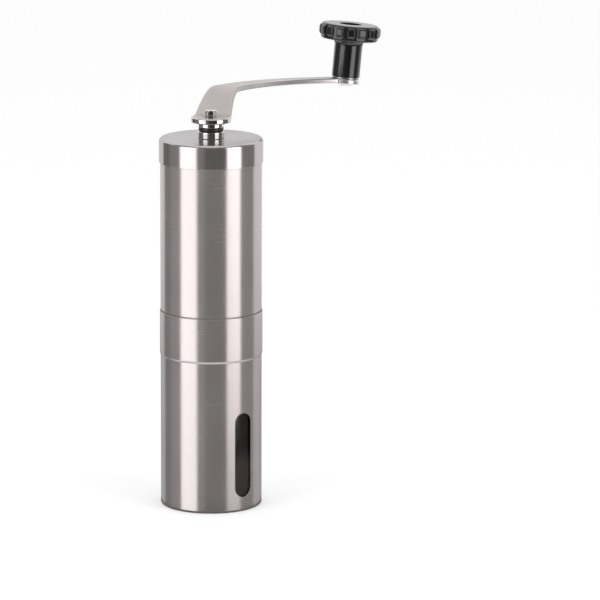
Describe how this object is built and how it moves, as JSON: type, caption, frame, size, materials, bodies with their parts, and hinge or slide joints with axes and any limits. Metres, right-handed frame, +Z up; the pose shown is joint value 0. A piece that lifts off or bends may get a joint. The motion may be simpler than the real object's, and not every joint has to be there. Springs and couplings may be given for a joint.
{
  "type": "manual coffee grinder",
  "caption": "Slim steel hand grinder: bean hopper with a conical burr set, pull-off grounds canister with a window slot, lift-off lid, and a bowed crank with a turning knob.",
  "frame": {"origin": "centre of the canister's underside, on the grinder's long axis", "axes": "+Z up along the body and the crank's turning axis, +X from that axis towards the knob at rest"},
  "size_m": [0.1607, 0.0502, 0.2218],
  "materials": {
    "tube_steel": "fine circumferential brushing",
    "lid_steel": "satin, turned grain on the top",
    "arm_steel": "bead-blasted nickel with polished edges",
    "chrome": "mirror",
    "rivet_steel": "polished",
    "plain_steel": "as stamped",
    "knob_black": "moulded, glossy stem and ribs, satin face",
    "washer_black": "moulded",
    "black_nylon": "moulded, fine texture",
    "white_nylon": "moulded",
    "clear_plastic": "smoky clear",
    "burr_ceramic": "unglazed"
  },
  "bodies": {
    "canister": {"canister_shell": "tube_steel", "window_liner": "clear_plastic"},
    "hopper": {"hopper_tube": "tube_steel", "burr_housing": "black_nylon", "ring_burr": "burr_ceramic", "ring_burr_clip": "plain_steel", "shaft_bracket": "black_nylon", "bracket_bearing": "white_nylon"},
    "lid": {"lid_cap": "lid_steel", "lid_bush": "chrome", "lid_rivet_ring": "plain_steel"},
    "washer": {"hub_washer": "washer_black"},
    "crank": {"crank_arm": "arm_steel", "crank_hub": "chrome", "knob_pin": "rivet_steel", "knob_washer": "plain_steel"},
    "knob": {"knob": "knob_black"},
    "shaft": {"drive_shaft": "chrome", "shaft_circlip": "plain_steel", "thrust_washer": "plain_steel", "burr_spring": "plain_steel"},
    "burr": {"cone_burr": "burr_ceramic", "burr_carrier": "black_nylon", "click_plate": "plain_steel"},
    "nut": {"adjusting_nut": "black_nylon"}
  },
  "joints": [
    {"name": "hopper_pull", "type": "slide", "parent": "canister", "child": "hopper", "axis": [0, 0, 1], "range_m": [0, 0.04]},
    {"name": "lid_lift", "type": "slide", "parent": "hopper", "child": "lid", "axis": [0, 0, 1], "range_m": [0, 0.02]},
    {"name": "crank_turn", "type": "hinge", "parent": "lid", "child": "washer", "pos_m": [0, 0, 0.1848], "axis": [0, 0, 1], "continuous": true},
    {"name": "crank_pull", "type": "slide", "parent": "washer", "child": "crank", "axis": [0, 0, 1], "range_m": [0, 0.012]},
    {"name": "knob_spin", "type": "hinge", "parent": "crank", "child": "knob", "pos_m": [0.118, 0, 0.19208], "axis": [0.0891, -0.0477, 0.9949], "continuous": true},
    {"name": "shaft_turn", "type": "hinge", "parent": "hopper", "child": "shaft", "pos_m": [0, 0, 0.12], "axis": [0, 0, 1], "continuous": true},
    {"name": "burr_lift", "type": "slide", "parent": "shaft", "child": "burr", "axis": [0, 0, 1], "range_m": [-0.0008, 0.0006], "deforming": ["burr_spring"]},
    {"name": "nut_turn", "type": "hinge", "parent": "burr", "child": "nut", "pos_m": [0, 0, 0.07], "axis": [0, 0, 1], "range_deg": [-360, 270]}
  ],
  "couplings": [
    {"joint": "shaft_turn", "follows": "crank_turn", "ratio": 1},
    {"joint": "nut_turn", "follows": "burr_lift", "rad_per_m": 7854}
  ]
}
